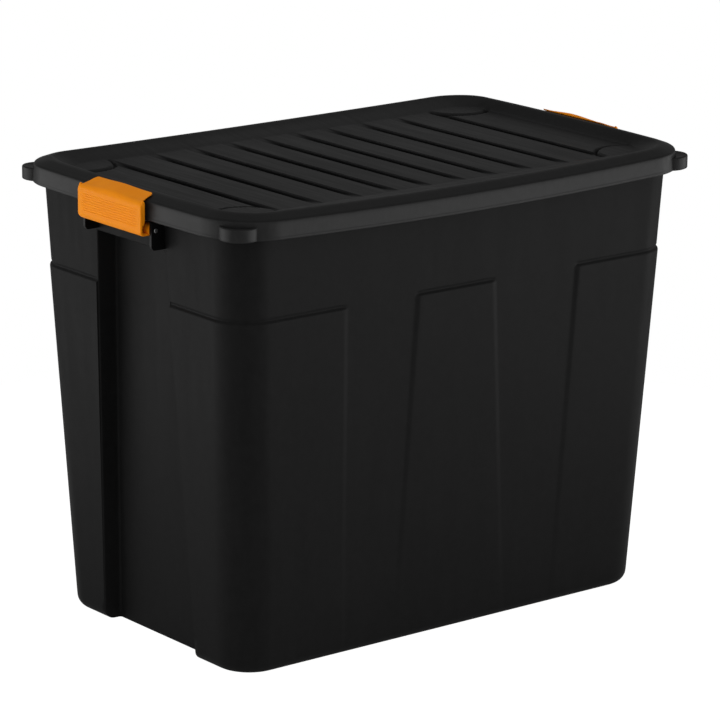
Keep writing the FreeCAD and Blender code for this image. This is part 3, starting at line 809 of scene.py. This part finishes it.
def barrel(shell, start, end):
    """A length of the hinge barrel, bored for the pin."""
    edge = BARREL_EDGE
    profile = [
        (BORE_RADIUS, start), (BARREL_RADIUS - edge, start), (BARREL_RADIUS - 0.2, start + 0.2),
        (BARREL_RADIUS, start + edge), (BARREL_RADIUS, end - edge), (BARREL_RADIUS - 0.2, end - 0.2),
        (BARREL_RADIUS - edge, end), (BORE_RADIUS, end), (BORE_RADIUS, start)]
    turned = lathe(profile, (0, 0), BARREL_STEPS)
    shell.sheet(turned[..., [0, 2, 1]] + (-PIN[0], 0, PIN[1]), wrap=True)


def make_latch(end):
    """A latch; the right one is the left one turned half round."""
    shell = Shell()
    latch_blade(shell)
    cheeks(shell)
    low, high = KNUCKLE_PLACE - KNUCKLE_GAP / 2, KNUCKLE_PLACE + KNUCKLE_GAP / 2
    for start, stop in ((-LATCH_HALF_WIDTH, -high), (-low, low), (high, LATCH_HALF_WIDTH)):
        barrel(shell, start, stop)
    if end == "right":
        shell.points = [part * (-1, -1, 1) for part in shell.points]
    return shell.make("latch_lever_" + end)


# ---------------------------------------------------------------- node helpers

class Nodes:
    """A short way to add nodes and join them."""

    def __init__(self, tree):
        self.tree = tree
        self.tree.nodes.clear()

    def add(self, kind, inputs=None, **settings):
        node = self.tree.nodes.new("ShaderNode" + kind)
        for name, value in settings.items():
            setattr(node, name, value)
        for name, value in (inputs or {}).items():
            self.put(value, node.inputs[name])
        return node

    def put(self, value, socket):
        if isinstance(value, bpy.types.NodeSocket):
            self.tree.links.new(value, socket)
        else:
            socket.default_value = value

    def math(self, operation, first, second=0.0):
        return self.add("Math", {0: first, 1: second}, operation=operation).outputs[0]

    def spread(self, value, low, high, to_low, to_high, soft=False):
        """Map a value from one range to another, clamped."""
        kind = "SMOOTHSTEP" if soft else "LINEAR"
        inputs = {0: value, 1: low, 2: high, 3: to_low, 4: to_high}
        return self.add("MapRange", inputs, interpolation_type=kind).outputs[0]

    def part(self, vector, axis):
        return self.add("SeparateXYZ", {0: vector}).outputs[axis]

    def along(self, vector, direction):
        return self.add("VectorMath", {0: vector, 1: direction}, operation="DOT_PRODUCT").outputs["Value"]

    def inside(self, place, axis, half):
        """1 where a coordinate is within half of the middle, 0 outside."""
        return self.math("LESS_THAN", self.math("ABSOLUTE", self.part(place, axis)), half)

    def noise(self, vector, scale, detail=2.0, roughness=0.5):
        inputs = {"Vector": vector, "Scale": scale, "Detail": detail, "Roughness": roughness}
        return self.add("TexNoise", inputs).outputs[0]

    def mix(self, factor, first, second):
        node = self.add("Mix", data_type="RGBA")
        self.put(factor, node.inputs[0])
        self.put(first, node.inputs[6])
        self.put(second, node.inputs[7])
        return node.outputs[2]


def grey(value):
    return (value, value, value, 1.0)


def new_material(name):
    material = bpy.data.materials.new(name)
    material.use_nodes = True
    return material, Nodes(material.node_tree)


# ---------------------------------------------------------------- materials

def lid_painted_light(n, place):
    """Factor of painted light on the lid: painted shade down in its grooves, painted sheen on its upright
    faces, else 1.
    """
    # Painted shade: colour and specular darken lower down in the grooves
    depth = n.spread(n.part(place, "Z"), *PAINTED_SHADE_HEIGHT, GROOVE_PAINTED_SHADE, 1.0, soft=True)
    inside = n.math("MULTIPLY", n.inside(place, "X", PAINTED_SHADE_HALF[0]), n.inside(place, "Y", PAINTED_SHADE_HALF[1]))
    upright = n.math("ABSOLUTE", n.part(n.add("NewGeometry").outputs["Normal"], "Z"))
    # Painted sheen: upright faces get lighter colour and more specular
    skirt = n.spread(upright, 0.35, 0.7, SKIRT_PAINTED_SHEEN, 1.0, soft=True)
    return n.add("Mix", {0: inside, 2: skirt, 3: depth}).outputs[0]


def moulded_plastic(name, dark, light, roughness, specular, streaks=(60.0, 60.0, 60.0), painted_light_of=None):
    """Moulded plastic: fine grain, blotches, slow drift of tone and faint streaks; an optional factor scales
    colour and specular with painted shade and painted sheen.
    """
    material, n = new_material(name)
    place = n.add("TexCoord").outputs["Object"]
    grain = n.noise(place, 900.0, 3.0, 0.6)
    blotch = n.noise(place, 110.0, 3.0, 0.6)
    drift = n.noise(place, 9.0, 3.0, 0.5)
    rub = n.noise(n.add("Mapping", {"Vector": place, "Scale": streaks}).outputs[0], 1.0, 4.0, 0.6)
    shares = ((grain, 0.2), (blotch, 0.3), (drift, 0.2), (rub, 0.3))
    parts = [n.math("MULTIPLY", part, share) for part, share in shares]
    total = n.math("ADD", n.math("ADD", parts[0], parts[1]), n.math("ADD", parts[2], parts[3]))
    colour = n.mix(n.spread(total, 0.38, 0.62, 0.0, 1.0), dark, light)
    shine = specular
    if painted_light_of:
        # The optional factor paints shade and sheen into the colour and the specular
        tone = painted_light_of(n, place)
        colour = n.add("VectorMath", {0: colour, 3: tone}, operation="SCALE").outputs[0]
        shine = n.math("MULTIPLY", tone, specular)
    slow = n.spread(drift, 0.3, 0.7, roughness - 0.03, roughness + 0.03)
    rough = n.math("ADD", n.spread(rub, 0.35, 0.65, -0.04, 0.05), slow)
    bump = n.add("Bump", {"Strength": 1.0, "Distance": GRAIN_DEPTH, "Height": grain})
    shader = n.add("BsdfPrincipled", {
        "Base Color": colour, "Roughness": rough, "Normal": bump.outputs[0],
        "Specular IOR Level": shine, "IOR": PLASTIC_IOR,
    })
    n.add("OutputMaterial", {"Surface": shader.outputs[0]})
    return material


def ground_metal(name, colour, roughness):
    """Metal with fine turned lines."""
    material, n = new_material(name)
    place = n.add("TexCoord").outputs["Object"]
    stretched = n.add("Mapping", {"Vector": place, "Scale": (900.0, 60.0, 900.0)}).outputs[0]
    lines = n.noise(stretched, 1.0, 2.0)
    rough = n.spread(lines, 0.3, 0.7, roughness - 0.08, roughness + 0.08)
    bump = n.add("Bump", {"Strength": 0.5, "Distance": LINE_DEPTH, "Height": lines})
    shader = n.add("BsdfPrincipled", {
        "Base Color": colour, "Roughness": rough, "Metallic": 1.0, "Normal": bump.outputs[0],
    })
    n.add("OutputMaterial", {"Surface": shader.outputs[0]})
    return material


def dress(node, material):
    """Give a CAD node its material."""
    node.data.materials.clear()
    node.data.materials.append(material)
    for polygon in node.data.polygons:
        polygon.material_index = 0


# ---------------------------------------------------------------- studio

def camera_right():
    """Level direction to the right of the camera."""
    azimuth = radians(CAMERA_AZIMUTH)
    return Vector((cos(azimuth), sin(azimuth), 0.0))


def camera_away():
    """Level direction that leads from the camera to the object."""
    right = camera_right()
    return (-right[1], right[0], 0.0)


def make_camera():
    camera = bpy.data.objects.new("camera", bpy.data.cameras.new("camera"))
    bpy.context.scene.collection.objects.link(camera)
    camera.data.sensor_width = CAMERA_SENSOR
    camera.data.lens = CAMERA_LENS
    camera.data.clip_end = CAMERA_REACH
    turn = (Matrix.Rotation(radians(CAMERA_AZIMUTH), 4, "Z")
            @ Matrix.Rotation(pi / 2 - radians(CAMERA_ELEVATION), 4, "X")
            @ Matrix.Rotation(radians(CAMERA_ROLL), 4, "Z"))
    camera.matrix_world = Matrix.Translation(CAMERA_PLACE) @ turn
    bpy.context.scene.camera = camera


def make_surround():
    """White to the eye; as light, bright low at both sides, dimmer overhead and dimmest behind the object."""
    world = bpy.data.worlds.new("surround")
    world.use_nodes = True
    bpy.context.scene.world = world
    n = Nodes(world.node_tree)
    direction = n.add("TexCoord").outputs["Generated"]
    height = n.part(direction, "Z")
    across = n.along(direction, camera_right())
    left = n.spread(across, -SIDE_FULL, -SIDE_EDGE, LEFT_LIGHT, 0.0, soft=True)
    right = n.spread(across, SIDE_EDGE, SIDE_FULL, 0.0, RIGHT_LIGHT, soft=True)
    low = n.spread(height, *SIDE_TOP, 1.0, 0.0, soft=True)
    sides = n.math("MULTIPLY", n.math("ADD", left, right), low)
    upper = n.spread(height, *OVERHEAD_START, SURROUND, OVERHEAD, soft=True)
    behind = n.spread(n.along(direction, camera_away()), *BEHIND_START, 1.0, BEHIND, soft=True)
    light = n.math("ADD", sides, n.math("MULTIPLY", upper, behind))
    seen = n.add("LightPath").outputs["Is Camera Ray"]
    strength = n.add("Mix", {0: seen, 2: light, 3: 1.0}).outputs[0]
    back = n.add("Background", {"Color": grey(1.0), "Strength": strength})
    n.add("OutputWorld", {"Surface": back.outputs[0]})


def floor_material():
    """White to the eye with a faint soft shadow, and a bounce with a little glow on the object."""
    material, n = new_material("floor_white")
    seen = n.add("LightPath").outputs["Is Camera Ray"]
    bounce = n.add("BsdfDiffuse", {"Color": grey(FLOOR_BOUNCE)})
    glow = n.add("Emission", {"Color": grey(1.0), "Strength": FLOOR_GLOW})
    lit = n.add("AddShader", {0: bounce.outputs[0], 1: glow.outputs[0]})
    pale = n.add("Emission", {"Color": grey(1.0), "Strength": FLOOR_WHITE})
    shade = n.add("BsdfDiffuse", {"Color": grey(FLOOR_SHADOW)})
    white = n.add("AddShader", {0: pale.outputs[0], 1: shade.outputs[0]})
    both = n.add("MixShader", {0: seen, 1: lit.outputs[0], 2: white.outputs[0]})
    n.add("OutputMaterial", {"Surface": both.outputs[0]})
    return material


def make_floor():
    """A round floor under the object."""
    bpy.ops.mesh.primitive_circle_add(vertices=FLOOR_SIDES, radius=FLOOR_RADIUS, fill_type="NGON")
    floor = bpy.context.object
    floor.name = "floor"
    floor.data.materials.append(floor_material())


# ---------------------------------------------------------------- object

def place(piece, body, node, slot, material):
    """Let a made piece stand in for a CAD node and ride on its body."""
    piece.data.materials.append(material)
    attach(piece, body)
    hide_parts(node)


wall_plastic = moulded_plastic("wall_plastic", grey(0.009), grey(0.0127), 0.50, 0.045, (70.0, 70.0, 6.0))
# The lid's plastic carries painted shade in its grooves and painted sheen on its upright faces
lid_plastic = moulded_plastic(
    "lid_plastic", grey(0.0085), grey(0.0125), 0.40, 0.07, (220.0, 9.0, 60.0), lid_painted_light)
black_plastic = moulded_plastic("black_plastic", grey(0.002), grey(0.004), 0.45, 0.15)
orange_plastic = moulded_plastic("orange_plastic", DEEP_ORANGE, PALE_ORANGE, 0.4, 0.06)
steel = ground_metal("ground_steel", grey(0.6), 0.3)
aluminium = ground_metal("aluminium", grey(0.5), 0.4)

place(make_tub(), "tub_body", "tub", "tub_plastic", wall_plastic)
place(make_lid(), "lid_body", "lid", "lid_plastic", lid_plastic)
for end in ("left", "right"):
    place(make_latch(end), "latch_" + end + "_body", "latch_" + end, "latch_plastic", orange_plastic)
    dress(nodes["latch_bracket_" + end], black_plastic)
    dress(nodes["latch_pin_" + end], steel)
    dress(nodes["bracket_rivets_" + end], aluminium)

make_camera()
make_surround()
make_floor()
bpy.context.scene.view_settings.view_transform = "Standard"
